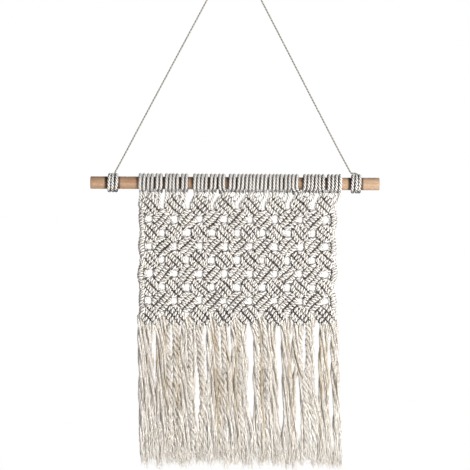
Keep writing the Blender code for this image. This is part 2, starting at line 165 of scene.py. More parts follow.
def sanded_wood():
    """Grain lines and growth rings about a pith outside the rod, short dark pores, a paler right end, and
    painted shade beside the cords.
    """
    finish, tree, shader = new_finish("sanded_wood", 0.55, 0.0)
    place = put(tree, "ShaderNodeTexCoord").outputs["Object"]
    centred = put(tree, "ShaderNodeVectorMath", {0: place, 1: dowel_axis}, operation="SUBTRACT").outputs[0]
    parts = put(tree, "ShaderNodeSeparateXYZ", {0: centred}).outputs
    drift = clouds(tree, stretch(tree, centred, (14, 90, 90)))
    off_y = calc(tree, "SUBTRACT", parts["Y"], PITH_BACK)
    off_z = calc(tree, "ADD", parts["Z"], PITH_DOWN)
    squares = calc(tree, "ADD", calc(tree, "POWER", off_y, 2.0), calc(tree, "POWER", off_z, 2.0))
    ring_place = calc(tree, "MULTIPLY_ADD", drift, RING_DRIFT, calc(tree, "SQRT", squares))
    rings = calc(tree, "SINE", calc(tree, "MULTIPLY", ring_place, RING_PACE))
    streaks = clouds(tree, stretch(tree, centred, (11, 620, 620)), 5.0)
    patches = clouds(tree, stretch(tree, centred, (45, 130, 130)), 2.0)
    pores = clouds(tree, stretch(tree, centred, (170, 2300, 2300)), 2.0)
    tan = blend_colours(tree, remap(tree, patches, 0.40, 0.68), TAN_WOOD, RED_WOOD)
    end_light = remap(tree, parts["X"], PALE_FROM, PALE_TO, 0.10, 0.75)
    ground = blend_colours(tree, end_light, tan, PALE_WOOD)
    streaky = blend_colours(tree, remap(tree, streaks, 0.30, 0.72, 0.0, 0.6), ground, PALE_WOOD)
    ringed = blend_colours(tree, remap(tree, rings, 0.2, 1.0, 0.0, 0.35), streaky, RED_WOOD)
    pored = blend_colours(tree, remap(tree, pores, 0.62, 0.74, 0.0, 0.7), ringed, DARK_GRAIN)
    # painted shade: the wood beside and between the cords wound round the dowel is darkened towards
    # SHADED_WOOD
    colour = blend_colours(tree, from_mesh(tree, "hollow")[0], pored, SHADED_WOOD)
    feed_finish(tree, shader, colour, calc(tree, "MULTIPLY_ADD", pores, -0.6, streaks), GRAIN_DEPTH)
    return finish


def rod_stations():
    """Rings from the middle of one sawn end to the middle of the other: place along the rod, and radius."""
    end = [(DOWEL_HALF, share * DOWEL_RADIUS) for share in (0.25, 0.5, 0.75)]
    for step in range(EDGE_STEPS + 1):
        turn = math.pi / 2 * step / EDGE_STEPS
        x = DOWEL_HALF - EDGE_ROUNDING * (1 - math.cos(turn))
        end.append((x, DOWEL_RADIUS - EDGE_ROUNDING * (1 - math.sin(turn))))
    inner = DOWEL_HALF - EDGE_ROUNDING
    places = {round(inner * (1 - 2 * step / DOWEL_RINGS), 5) for step in range(1, DOWEL_RINGS)}
    for low, high in wound_spans:
        for step in SHADE_STEPS:
            places |= {round(low + step - dowel_axis.x, 5), round(high - step - dowel_axis.x, 5)}
    length = [(x, DOWEL_RADIUS) for x in sorted(places, reverse=True)]
    return end + length + [(-x, radius) for x, radius in reversed(end)]


def wood_shade(x):
    """How much the cords wound beside x shade the wood there, from 0 to 1."""
    to_left = min((x - high for low, high in wound_spans if low < x), key=abs, default=NO_CORD)
    to_right = min((low - x for low, high in wound_spans if high > x), key=abs, default=NO_CORD)
    if min(to_left, to_right) < 0:
        return FULL_SHADE
    edge = max(0.0, 1 - to_left / SHADE_RIGHT, 1 - to_right / SHADE_LEFT)
    return FULL_SHADE * min(1.0, edge + max(0.0, 1 - (to_left + to_right) / NARROW_GAP))


def keep_values(mesh, name, values):
    """Keep one value for each point of the mesh under that name."""
    mesh.attributes.new(name, "FLOAT", "POINT").data.foreach_set("value", values)


def new_piece(name, mesh):
    piece = bpy.data.objects.new(name, mesh)
    scene.collection.objects.link(piece)
    return piece


def make_rod():
    points = [dowel_axis + Vector((DOWEL_HALF, 0, 0))]
    stations = rod_stations()
    for x, radius in stations:
        for side in range(DOWEL_SIDES):
            angle = 2 * math.pi * side / DOWEL_SIDES
            waver = UNEVEN * math.sin(UNEVEN_FAST * x + 2 * angle) * math.sin(UNEVEN_SLOW * x + angle)
            reach = radius + waver * radius / DOWEL_RADIUS
            points.append(dowel_axis + Vector((x, reach * math.cos(angle), reach * math.sin(angle))))
    points.append(dowel_axis - Vector((DOWEL_HALF, 0, 0)))
    faces = []
    last_ring = len(points) - 1 - DOWEL_SIDES
    for side in range(DOWEL_SIDES):
        after = (side + 1) % DOWEL_SIDES
        faces.append((0, 1 + side, 1 + after))
        faces.append((len(points) - 1, last_ring + after, last_ring + side))
        for ring in range(len(stations) - 1):
            near = 1 + ring * DOWEL_SIDES
            far = near + DOWEL_SIDES
            faces.append((near + side, far + side, far + after, near + after))
    mesh = bpy.data.meshes.new("turned_dowel")
    mesh.from_pydata([tuple(point) for point in points], [], faces)
    keep_values(mesh, "hollow", [wood_shade(point.x) for point in points])
    mesh.shade_smooth()
    mesh.materials.append(sanded_wood())
    return new_piece("turned_dowel", mesh)


rod = make_rod()
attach(rod, "root")
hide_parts("dowel")

# ================================================================== lark's heads
# Twenty-four lengths of three-strand cotton cord, each folded in half and looped over the dowel, with the
# bar of its loop behind. The forty-eight ends that come down are what the panel is knotted from.

CORD_RADIUS = 0.00188
CORD_STEP = 0.00095  # from one ring of a cord's mesh to the next
LAY_LENGTH = 0.0098  # the cord's three strands go once round it in this length
STRANDS = 3
STRAND_CORNERS = 4  # to the outline of each strand
GROOVE = 0.42  # depth of the groove between two strands, as a share of the cord's radius
ROUTE_STEPS = 6  # of the smooth curve between two points of a route
SNUG = 0.96  # of a cord's radius, from the wood to the middle of a cord wound on it
WOUND_REACH = DOWEL_RADIUS + CORD_RADIUS * SNUG
CORD_UNEVEN = (0.97, 1.02)
HEAD_PITCH = 0.0040  # between the two passes of one head
HEAD_LEAN = 0.00025  # at the most, to either side
HEAD_TURNS = range(222, -40, -20)  # degrees from the back of the dowel over its top
HEAD_END_Y = -0.0025  # the ends come down a little in front of the dowel's axis
HEAD_END_DROP = 0.0107
HEAD_END_RISE = 0.0022
HEAD_BAR_Y = 0.0015
HEAD_BAR_DROP = 0.0098
HEAD_BAR_ENDS = (-0.7, 0.7)  # as a share of half the pitch
GROUP_HEADS = 3  # over each block of the first level
GROUP_ENDS = 2 * GROUP_HEADS
GATHER_FROM = 0.0045  # between these drops, the ends of three heads draw together
GATHER_TO = 0.0083
LEAVE_FROM = 0.0048  # and over this length they turn to hang straight down
LEAVE_OVER = 0.0026
END_PITCH = 0.0039
BRIGHT_COTTON = (0.97, 0.935, 0.885, 1)
PALE_COTTON = (0.84, 0.800, 0.745, 1)
GREY_COTTON = (0.70, 0.655, 0.600, 1)
# the colour of the painted shade in the cords' grooves, in the hollows between cords and in the lines
# between bars
PAINTED_SHADE_COTTON = (0.026, 0.017, 0.012, 1)
HEAD_SHADE = 3.0  # how fast painted shade comes in on a cord round the dowel as it turns away from the outside
CREST_SHADE = 0.5  # how much of that a wrap has on its bar's crest; at the bar's side it has all of it
PLAIN_SIDE = 0.6  # what counts as the side of a bar in a cord that isn't wrapped round one
LINE_FROM = 0.60  # and from there to LINE_TO the painted shade line between two bars comes in
LINE_TO = 0.71
FIBRE_SCALE = (6.0, 240.0, 47.0)  # of the fibres' pattern round a cord, along it and from cord to cord
FIBRE_DEPTH = 0.00035

Route = namedtuple("Route", "points radii tone sides", defaults=[PLAIN_SIDE])


def open_tree(name, inputs):
    """A new node tree with its named inputs, the first of them the routes that its cords follow."""
    tree = bpy.data.node_groups.new(name, "GeometryNodeTree")
    for label, kind in [("Routes", "Geometry")] + inputs:
        tree.interface.new_socket(label, in_out="INPUT", socket_type="NodeSocket" + kind)
    tree.interface.new_socket("Cords", in_out="OUTPUT", socket_type="NodeSocketGeometry")
    return tree, tree.nodes.new("NodeGroupInput").outputs


def close_tree(tree, made, material):
    feeds = {0: put(tree, "GeometryNodeRealizeInstances", {0: made}).outputs[0], "Material": material}
    dressed = put(tree, "GeometryNodeSetMaterial", feeds)
    tree.links.new(dressed.outputs[0], tree.nodes.new("NodeGroupOutput").inputs[0])


def resampled(tree, curve, step):
    """The same curve with a point at each step along it."""
    feeds = {0: curve, "Length": step}
    return put(tree, "GeometryNodeResampleCurve", feeds, mode="LENGTH").outputs[0]


def swept(tree, curve, section, size):
    """A smooth closed body with that section along the curve."""
    feeds = {"Curve": curve, "Profile Curve": section, "Scale": size, "Fill Caps": True}
    body = put(tree, "GeometryNodeCurveToMesh", feeds).outputs[0]
    return put(tree, "GeometryNodeSetShadeSmooth", {0: body}).outputs[0]


def circle(tree, sides):
    feeds = {"Resolution": sides, "Radius": 1.0}
    return put(tree, "GeometryNodeCurvePrimitiveCircle", feeds).outputs["Curve"]


def scaled(tree, vector, size):
    return put(tree, "ShaderNodeVectorMath", {0: vector, "Scale": size}, operation="SCALE").outputs[0]


def pattern_place(tree, values, scales):
    """Where a pattern is read for these three values, each with a scale of its own."""
    feeds = {axis: calc(tree, "MULTIPLY", *pair) for axis, *pair in zip("XYZ", values, scales)}
    return put(tree, "ShaderNodeCombineXYZ", feeds).outputs[0]


def named(tree, name):
    return put(tree, "GeometryNodeInputNamedAttribute", {"Name": name}, data_type="FLOAT").outputs[0]


def keep(tree, shape, name, value, domain="POINT"):
    feeds = {0: shape, "Name": name, "Value": value}
    return put(tree, "GeometryNodeStoreNamedAttribute", feeds, data_type="FLOAT", domain=domain).outputs[0]


def laid_section(tree, strands, corners, groove):
    """The cord's outline across it: a circle with a groove between each two strands."""
    sides = calc(tree, "MULTIPLY", strands, corners)
    share = calc(tree, "DIVIDE", tree.nodes.new("GeometryNodeInputIndex").outputs[0], sides)
    turn = calc(tree, "MULTIPLY", calc(tree, "MULTIPLY", share, strands), 2 * math.pi)
    valley = calc(tree, "POWER", calc(tree, "MULTIPLY_ADD", calc(tree, "COSINE", turn), 0.5, 0.5), 2.0)
    rounded = keep(tree, circle(tree, sides), "round", share)
    kept = keep(tree, rounded, "crest", calc(tree, "SUBTRACT", 1.0, valley))
    size = calc(tree, "SUBTRACT", 1.0, calc(tree, "MULTIPLY", groove, valley))
    moved = scaled(tree, tree.nodes.new("GeometryNodeInputPosition").outputs[0], size)
    return put(tree, "GeometryNodeSetPosition", {0: kept, "Position": moved}).outputs[0]


def laid_cord():
    """Twisted cord along smooth curves through the routes' points, as thick there as their swell says."""
    inputs = [("Step", "Float"), ("Lay length", "Float"), ("Strands", "Int"), ("Corners", "Int")]
    inputs += [("Groove", "Float"), ("Material", "Material")]
    tree, given = open_tree("laid_cord", inputs)
    lines = put(tree, "GeometryNodeMeshToCurve", {0: given["Routes"]}).outputs[0]
    bent = put(tree, "GeometryNodeCurveSplineType", {0: lines}, spline_type="CATMULL_ROM").outputs[0]
    smooth = put(tree, "GeometryNodeSetSplineResolution", {0: bent, "Resolution": ROUTE_STEPS}).outputs[0]
    even = resampled(tree, smooth, given["Step"])
    along = tree.nodes.new("GeometryNodeSplineParameter").outputs["Length"]
    measured = keep(tree, even, "along", along)
    turns = calc(tree, "SUBTRACT", named(tree, "tone"), calc(tree, "DIVIDE", along, given["Lay length"]))
    tilt = calc(tree, "MULTIPLY", turns, 2 * math.pi)
    laid = put(tree, "GeometryNodeSetCurveTilt", {0: measured, "Tilt": tilt}).outputs[0]
    section = laid_section(tree, given["Strands"], given["Corners"], given["Groove"])
    close_tree(tree, swept(tree, laid, section, named(tree, "swell")), given["Material"])
    return tree


def laid_cotton(name, pale, grey, deep, groove_shade, groove_edge=0.70, sheen=0.25, dotting=0.30):
    """Off-white cotton: fibres run along the cord, and painted shade darkens the grooves in it and the
    hollows between cords.
    """
    finish, tree, shader = new_finish(name, 0.92, sheen)
    along, round_cord, crest, tone = from_mesh(tree, "along", "round", "crest", "tone")
    side, hollow, closed = from_mesh(tree, "side", "hollow", "closed")
    cord_place = pattern_place(tree, (round_cord, along, tone), FIBRE_SCALE)
    fibres = clouds(tree, stretch(tree, cord_place, (3.0, 1.0, 1.0)), 4.0, 0.3)
    fluff = clouds(tree, stretch(tree, cord_place, (1.0, 3.5, 1.0)), 2.0)
    shade = calc(tree, "MULTIPLY_ADD", tone, 0.35, remap(tree, fluff, 0.3, 0.75, 0.0, 0.4))
    ground = blend_colours(tree, shade, pale, grey)
    # painted shade in the grooves between the strands
    valley = remap(tree, crest, groove_edge, groove_edge - 0.45)
    shaded_grooves = blend_colours(tree, calc(tree, "MULTIPLY", valley, groove_shade), ground, deep)
    place = put(tree, "ShaderNodeTexCoord").outputs["Object"]
    uneven = remap(tree, clouds(tree, stretch(tree, place, (260, 260, 260)), 1.0), 0.35, 0.55, 0.8, 1.0)
    # painted shade where a cord turns away from the outside or lies below the crests, dotted by its grooves,
    # and the painted shade line between two bars
    edge = remap(tree, calc(tree, "MULTIPLY_ADD", valley, dotting, hollow), 0.04 + dotting, 0.30 + dotting)
    line = remap(tree, side, LINE_FROM, LINE_TO)
    shaded = calc(tree, "MULTIPLY", calc(tree, "MAXIMUM", edge, line), uneven)
    # the painted shade is left off where cords lie open, at the rims of openings and at the panel's sides
    colour = blend_colours(tree, calc(tree, "MULTIPLY", shaded, closed), shaded_grooves, deep)
    feed_finish(tree, shader, colour, fibres, FIBRE_DEPTH)
    return finish


def for_each(value, count):
    """A route's own list of values, or its one value for all of its points."""
    return value if isinstance(value, list) else [value] * count


def lay_cords(name, routes, tree, inputs):
    """Turn the routes of a group of cords into one plain mesh of finished cords."""
    points = []
    edges = []
    swells = []
    sides = []
    tones = []
    for route in routes:
        first = len(points)
        points.extend(tuple(point) for point in route.points)
        edges.extend((step, step + 1) for step in range(first, len(points) - 1))
        count = len(points) - first
        swells.extend(for_each(route.radii, count))
        sides.extend(for_each(route.sides, count))
        tones.extend(for_each(route.tone, count))
    lines = bpy.data.meshes.new(name + "_routes")
    lines.from_pydata(points, edges, [])
    keep_values(lines, "swell", swells)
    keep_values(lines, "side", sides)
    keep_values(lines, "tone", tones)
    guide = new_piece(name + "_routes", lines)
    modifier = guide.modifiers.new("cords", "NODES")
    modifier.node_group = tree
    for socket in tree.interface.items_tree:
        if socket.in_out == "INPUT" and socket.name in inputs:
            modifier[socket.identifier] = inputs[socket.name]
    graph = bpy.context.evaluated_depsgraph_get()
    mesh = bpy.data.meshes.new_from_object(
        guide.evaluated_get(graph), preserve_all_data_layers=True, depsgraph=graph
    )
    mesh.name = name
    bpy.data.objects.remove(guide)
    bpy.data.meshes.remove(lines)
    return new_piece(name, mesh)


def shade_hollows(piece, outward, strength, closed_in):
    """Keep in the mesh how much painted shade it gets: how far it turns away or lies below the crests, and
    if cords lie beside it.
    """
    mesh = piece.data
    hollows = []
    closed = []
    sides = mesh.attributes["side"].data
    for normal, vertex, side in zip(mesh.vertex_normals, mesh.vertices, sides):
        direction, sunk = outward(vertex.co)
        share = CREST_SHADE + (1 - CREST_SHADE) * side.value
        hollows.append(max(strength * (1 - abs(normal.vector.dot(direction))) * share, sunk))
        closed.append(closed_in(vertex.co, normal.vector))
    keep_values(mesh, "hollow", hollows)
    keep_values(mesh, "closed", closed)


def limited(share):
    return min(1.0, max(0.0, share))


def off_dowel(point):
    """Away from the dowel's axis, but straight forward or back where the ends come away below it."""
    up = point.z - dowel_axis.z
    hanging = limited((-up - LEAVE_FROM) / LEAVE_OVER)
    return Vector((0, point.y, up * (1 - hanging))).normalized(), 0.0


def between_cords(low, high, point, normal):
    """How much of the painted shade stays: from 0 at the outer side of the first and last of a row of cords
    to 1 a cord's radius further in.
    """
    return limited(min(point.x - low, high - point.x) / CORD_RADIUS)


def gathered_ends(places):
    """Where the forty-eight ends hang just below the dowel: six from each three heads, side by side."""
    ends = []
    for first in range(0, len(places), GROUP_HEADS):
        middle = sum(places[first : first + GROUP_HEADS]) / GROUP_HEADS
        ends += [middle + (number - (GROUP_ENDS - 1) / 2) * END_PITCH for number in range(GROUP_ENDS)]
    return ends


def head_route(place, ends, draw):
    """Up the front of the dowel, over it, down the back, across behind both ends, and back the same way."""
    lean = draw.uniform(-HEAD_LEAN, HEAD_LEAN)
    side = [(HEAD_END_Y, -HEAD_END_DROP), (HEAD_END_Y, -HEAD_END_DROP + HEAD_END_RISE)]
    for turn in HEAD_TURNS:
        angle = math.radians(turn)
        side.append((WOUND_REACH * math.cos(angle), WOUND_REACH * math.sin(angle)))
    points = []
    for half, passes, end in ((-1, side, ends[0]), (1, side[::-1], ends[1])):
        for y, z in passes:
            x = place + half * HEAD_PITCH / 2 + lean * z / WOUND_REACH
            x += (end - x) * limited((-z - GATHER_FROM) / (GATHER_TO - GATHER_FROM))
            points.append((x, y, dowel_axis.z + z))
        if half < 0:
            for share in HEAD_BAR_ENDS:
                points.append((place + share * HEAD_PITCH / 2, HEAD_BAR_Y, dowel_axis.z - HEAD_BAR_DROP))
    return Route(points, CORD_RADIUS * draw.uniform(*CORD_UNEVEN), draw.random())


cord_tree = laid_cord()
cotton = laid_cotton("laid_cotton", BRIGHT_COTTON, GREY_COTTON, PAINTED_SHADE_COTTON, 1.0, 0.66, dotting=0.60)
cord_inputs = {"Step": CORD_STEP, "Lay length": LAY_LENGTH, "Strands": STRANDS}
cord_inputs |= {"Corners": STRAND_CORNERS, "Groove": GROOVE, "Material": cotton}

draw = random.Random(24)
head_places = [(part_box(node)[0].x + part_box(node)[1].x) / 2 for node in head_nodes]
end_places = gathered_ends(head_places)
in_row = partial(between_cords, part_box(head_nodes[0])[0].x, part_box(head_nodes[-1])[1].x)
for number, node in enumerate(head_nodes):
    route = head_route(head_places[number], end_places[2 * number : 2 * number + 2], draw)
    head = lay_cords(node.replace("lark_", ""), [route], cord_tree, cord_inputs)
    shade_hollows(head, off_dowel, HEAD_SHADE, in_row)
    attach(head, "root")
    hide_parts(node)

# ================================================================== knotted panel
# The cords are worked into blocks of three bars. A bar is one cord with three others hitched over it, two
# wraps each; on the next level the cords change over, and the bars run the other way.

HANG_Y = (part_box("knotted_panel")[0].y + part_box("knotted_panel")[1].y) / 2
PANEL_MIDDLE = 0.0047
HALF_PITCH = 0.01301  # half the pitch of the columns of blocks
LEVEL_PITCH = 0.0141
FIRST_LEVEL_DROP = 0.0235  # from the dowel's axis to the middle of the first blocks
LEVELS = 9
LAST_COLUMN = 16
CORNER_POWER = 2.6  # how close to the corners of a block the pulls stay
TIP_PULL = (0.62, 0.74)  # how far the cords draw a block's top and bottom in towards its middle
CORNER_PULL = (0.42, 0.54)  # and its left and right corners
SLOT_PULLS = (0.24, 0.48, 0.28, 0.24, 0.22, 0.30, 0.34)  # the same beside the slots of the first level
OUTER_PULL = 0.30  # and at that level's two outer corners
TOP_PULL = 0.06  # and under the heads
HEM_PULL = 0.12  # and beside the notches of the last level
HEM_TIP_PULL = 0.25  # and at its blocks' tips
HEM_LEANS = (0.0012, 0.0027, 0.0037, -0.0010, -0.0020, 0.0008, 0.0035, 0.0034)  # of the tips, to the right
HEM_LIFT = 0.0006  # of the last level as a whole
HEM_STRETCH = 0.0040  # how much lower its tips hang than on an even lattice
HEM_POWER = 1.5
WARP = 0.00045  # how far the blocks stray from an even lattice
THIRDS = (-1 / 3, 0.0, 1 / 3)
BAR_UNIT = math.hypot(HALF_PITCH, LEVEL_PITCH)  # the length of a bar, and the width of three

WRAP_RADIUS = 0.00160
WRAP_ACROSS = 0.00198  # from the bar's middle to the middle of the wrapped cord, across the bar
WRAP_DEEP = 0.00240  # and to the front or the back
DEEP_UNEVEN = (0.94, 1.08)
WRAP_UNEVEN = (0.95, 1.05)
WRAP_SLANT = 0.008  # at the most, as a share of the bar's length
SQUARE_ACROSS = 0.85  # under 1, the wraps are squarer than a circle
SQUARE_DEEP = 0.80
HALF_GAP = 1 / 12  # of a bar's length, from a hitch's middle to each of its two wraps
EDGE_HALF_GAP = 1 / 16
TUCK = 0.6  # of its reach, where a hitch's two ends are tucked in under it
TUCK_POINTS = 2
WRAP_POINTS = 12  # to each turn
WRAP_START = -80  # degrees round the bar, from its upper side over the front
WRAP_END = 620
WRAP_SWELL = 0.52  # the wraps are pressed this much wider where two bars meet
SUNK_FROM = 0.0010  # below the crests of the wraps, where painted shade begins to come in
SUNK_OVER = 0.0014
CORE_RADIUS = 0.00120
CORE_STEP = 0.0016
LINK_RADIUS = 0.00165
LINK_BEHIND = 0.0008  # where a cord comes into a block, from behind the bars above
LINK_BEFORE = -0.0006
OVER_BAR = -0.0022  # and where it rises on to the front of a bar
FULL_END = 0.48  # of a bar, where the cord inside it ends
SHORT_END = 0.17  # the same in the last bar of each last block, which has two hitches
FINE_CORNERS = 3
FINE_GROOVE = 0.20
HITCH_SHADE = 1.1
CORE_SHADE = 0.5
EDGE_BAR_INSET = 0.0043  # of the bar that turns round beside an opening, from the lattice's side
EDGE_BAR_LENGTH = 0.0250
EDGE_BAR_BEND = 0.0022
EDGE_BAR_ACROSS = 0.00150
EDGE_PLACES = (-0.375, -0.125, 0.125, 0.375)
TURN_BULGE = (0.0018, 0.0036, 0.0062)  # how far inside the lattice's side the turned cords reach
TURN_REACH = (0.0062, 0.0046, 0.0026)  # and how far above and below the level's middle
TURN_IN = 0.0010  # how much further in they lie there
CROWN_DROP = 0.0030  # how far the cords hang straight down from the heads
CROWN_RISE = 0.0008  # their upper ends reach this far up into the heads
CROWN_DEPTHS = (-0.0006, 0.0004)
CROWN_IN = -0.0008  # depth of a cord that comes in under the first bar
CROWN_OVER = -0.0014  # and of one that crosses it
CROWN_PLACE = -0.52  # just outside the block's upper sides
RIM_LEFT = 0.0007  # painted light: the painted shade is left off a wider rim on the left of each opening, where the lamp on the right shines in
RIM_FROM = 0.0028  # from an opening's middle, where the painted shade of the hollows begins
RIM_OVER = 0.0017
SIDE_FROM = 0.094  # from the panel's middle, where its side turns start
SIDE_OVER = 0.004


def slope(level):
    """1 on a level whose bars run down to the right, and -1 on one where they run down to the left."""
    return 1 if level % 2 else -1


def lattice(column, level):
    """The middle of a block, or of an opening between four blocks."""
    x = PANEL_MIDDLE + (column - LAST_COLUMN / 2) * HALF_PITCH
    return Vector((x, HANG_Y, dowel_axis.z - FIRST_LEVEL_DROP - (level - 1) * LEVEL_PITCH))


def warp(point):
    """The same point strayed a little, as the cords were not all drawn equally tight."""
    across = math.sin(230 * point.x + 90 * point.z) + math.sin(150 * point.z - 310 * point.x + 1)
    down = math.sin(260 * point.z - 120 * point.x + 2) + math.sin(330 * point.x + 140 * point.z)
    return point + Vector((across * WARP, 0, down * WARP))


def corner_pulls(column, level, draw):
    """How far each corner of a block is drawn in, by the signs of s and t there."""
    pulls = {signs: draw.uniform(*TIP_PULL) for signs in ((-1, -1), (1, 1))}
    pulls |= {signs: draw.uniform(*CORNER_PULL) for signs in ((-1, 1), (1, -1))}
    left, right = ((-1, 1), (1, -1)) if slope(level) > 0 else ((1, -1), (-1, 1))
    if level == 1:
        pulls[-1, -1] = TOP_PULL
        pulls[left] = SLOT_PULLS[column // 2 - 1] if column > 1 else OUTER_PULL
        pulls[right] = SLOT_PULLS[column // 2] if column < LAST_COLUMN - 1 else OUTER_PULL
    elif level == LEVELS:
        pulls[left] = pulls[right] = HEM_PULL
        pulls[1, 1] = HEM_TIP_PULL
    elif level == LEVELS - 1:
        pulls[1, 1] = HEM_PULL
    return pulls


def in_block(column, level, s, t, depth=0.0):
    """A point of a block: s along its bars and t across them, from -0.5 to 0.5, the corners pulled in."""
    near_corner = (min(1.0, abs(2 * s)) * min(1.0, abs(2 * t))) ** CORNER_POWER
    corner = (1 if s > 0 else -1, 1 if t > 0 else -1)
    pull = 1 - block_pulls[column, level][corner] * near_corner
    x = (s - t) * pull * slope(level) * HALF_PITCH
    z = -(s + t) * pull * LEVEL_PITCH
    if level == LEVELS:
        towards_tip = max(0.0, (s + t + 1) / 2) ** HEM_POWER
        x += HEM_LEANS[column // 2] * towards_tip
        z += HEM_LIFT - HEM_STRETCH * towards_tip
    return warp(lattice(column, level) + Vector((x, depth, z)))


def beside_opening(left, level, s, t, depth=0.0):
    """A point of the bar that turns round beside a side opening: s down it, and t across it."""
    edge = lattice(0 if left else LAST_COLUMN, level)
    inset = EDGE_BAR_INSET + EDGE_BAR_BEND * (2 * s) ** 2 - t * BAR_UNIT
    return warp(edge + Vector((inset if left else -inset, depth, -s * EDGE_BAR_LENGTH)))


def hitch_route(at, place, bar, half_gap, half_width, draw):
    """One double half hitch: two wraps side by side over the bar, crossing from one to the other behind."""
    wide = half_width / BAR_UNIT
    deep = WRAP_DEEP * draw.uniform(*DEEP_UNEVEN)
    slant = draw.uniform(-WRAP_SLANT, WRAP_SLANT)
    size = WRAP_RADIUS * draw.uniform(*WRAP_UNEVEN)
    points = []
    radii = []
    sides = []
    count = round((WRAP_END - WRAP_START) / 360 * WRAP_POINTS)
    for step in range(count + 1):
        turn = WRAP_START + (WRAP_END - WRAP_START) * step / count
        angle = math.radians(turn)
        shift = limited((turn - 180) / 180) * 2 - 1
        ends = min(1.0, TUCK + (1 - TUCK) * min(step, count - step) / TUCK_POINTS)
        across = math.copysign(abs(math.cos(angle)) ** SQUARE_ACROSS, math.cos(angle))
        forward = math.copysign(abs(math.sin(angle)) ** SQUARE_DEEP, math.sin(angle))
        s = place + shift * half_gap + slant * across
        points.append(at(s, bar - ends * wide * across, -ends * deep * forward))
        radii.append(size * (1 + WRAP_SWELL * abs(math.cos(angle)) ** 3))
        sides.append(abs(math.cos(angle)))
    return Route(points, radii, draw.random(), sides)


def enter_bar(column, level, bar):
    """Where the cord inside a bar comes from: the block above it, or the side of the panel."""
    above = column - slope(level)
    if level > 1 and 0 < above < LAST_COLUMN:
        return [in_block(above, level - 1, bar, 0.40, LINK_BEHIND), in_block(above, level - 1, bar, 0.5)]
    return []


def leave_bar(column, level, bar):
    """Where the cord inside a bar goes on to: over the first bar of the block below it."""
    below = column + slope(level)
    if level < LEVELS and 0 < below < LAST_COLUMN:
        at = partial(in_block, below, level + 1, bar)
        return [at(-0.5, LINK_BEFORE), at(-0.42, OVER_BAR)]
    return []


def side_turn(left, level, rank):
    """The bulge of a turned cord beside a level, from top to bottom; rank 0 is the outermost cord."""
    edge = lattice(0 if left else LAST_COLUMN, level)
    inward = 1 if left else -1
    x = inward * (TURN_BULGE[rank] + WRAP_RADIUS)
    reach = TURN_REACH[rank]
    ends = x + inward * TURN_IN
    return [edge + Vector((ends, 0, reach)), edge + Vector((x, 0, 0)), edge + Vector((ends, 0, -reach))]


def core_route(column, level, bar, draw):
    """The cord that a bar is worked over, with its links to the blocks before and after."""
    before = enter_bar(column, level, bar)
    after = leave_bar(column, level, bar)
    far_end = SHORT_END if level == LEVELS and bar == THIRDS[2] else FULL_END
    inside = [in_block(column, level, s, bar) for s in (-FULL_END, -0.25, 0.0, far_end / 2, far_end)]
    swells = [LINK_RADIUS] * len(before) + [LINK_RADIUS] + [CORE_RADIUS] * 3 + [LINK_RADIUS]
    swells += [LINK_RADIUS] * len(after)
    return Route(before + inside + after, swells, draw.random())


def beside(left, level, s, t):
    """A point of the block at the panel's left side, or the like point of the one at its right side."""
    return in_block(1, level, s, t) if left else in_block(LAST_COLUMN - 1, level, t, s)


def turned_routes(draw):
    """The three outer cords turn back at each side, on every second level."""
    routes = []
    for level in range(2, LEVELS, 2):
        for rank, place in enumerate(THIRDS):
            for left in (True, False):
                start = [beside(left, level - 1, place, t) for t in (0.38, 0.5)]
                end = [beside(left, level + 1, s, -place) for s in (-0.5, -0.40)]
                routes.append(Route(start + side_turn(left, level, rank) + end, LINK_RADIUS, draw.random()))
    return routes


def crown_routes(draw):
    """From the heads, six cords come down to each first block: three enter its bars, three cross them."""
    routes = []
    top = dowel_axis.z - HEAD_END_DROP + CROWN_RISE
    for number, end in enumerate(end_places):
        at = partial(in_block, 2 * (number // GROUP_ENDS) + 1, 1)
        rank = number % GROUP_ENDS
        if rank < 3:
            bar = THIRDS[2 - rank]
            feet = [at(CROWN_PLACE, bar, CROWN_IN), at(-0.40, bar)]
        else:
            place = THIRDS[rank - 3]
            feet = [at(place, CROWN_PLACE, CROWN_OVER), at(place, -0.42, OVER_BAR)]
        head = Vector((end, HEAD_END_Y, top))
        fall = min(CROWN_DROP, 0.4 * (top - feet[0].z))
        low = Vector((end, HEAD_END_Y + draw.uniform(*CROWN_DEPTHS), top - fall))
        radii = [CORD_RADIUS] * 2 + [LINK_RADIUS] * 2
        routes.append(Route([head, low] + feet, radii, draw.random()))
    return routes


def blocks(level):
    return [column for column in range(1, LAST_COLUMN) if (column + level) % 2 == 0]


def off_panel(point):
    return Vector((0, 1, 0)), 0.0


def off_bars(point):
    depth = WRAP_DEEP + WRAP_RADIUS - abs(point.y - HANG_Y)
    return Vector((0, 1, 0)), limited((depth - SUNK_FROM) / SUNK_OVER)


def closed_in(point, normal):
    """How much of the painted shade stays: from 0 at the rim of an opening or at the panel's own side to 1
    where cords lie all round.
    """
    across = (point.x - PANEL_MIDDLE) / HALF_PITCH + LAST_COLUMN / 2
    down = (dowel_axis.z - FIRST_LEVEL_DROP - point.z) / LEVEL_PITCH + 1
    first = round((across + down + 1) / 2)
    second = round((across - down + 1) / 2)
    off_across = (across - first - second + 1) * HALF_PITCH + RIM_LEFT
    off_down = (down - first + second) * LEVEL_PITCH
    inside = limited((math.hypot(off_across, off_down) - RIM_FROM) / RIM_OVER)
    off_middle = point.x - PANEL_MIDDLE
    at_side = limited((abs(off_middle) - SIDE_FROM) / SIDE_OVER)
    return inside * (1 - at_side * max(0.0, math.copysign(normal.x, normal.x * off_middle)))


def panel_piece(name, routes, inputs, outward=off_panel, strength=1.0):
    """One group of the panel's cords, as a finished piece."""
    piece = lay_cords(name, routes, cord_tree, inputs)
    shade_hollows(piece, outward, strength, closed_in)
    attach(piece, "root")
    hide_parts("knotted_panel")


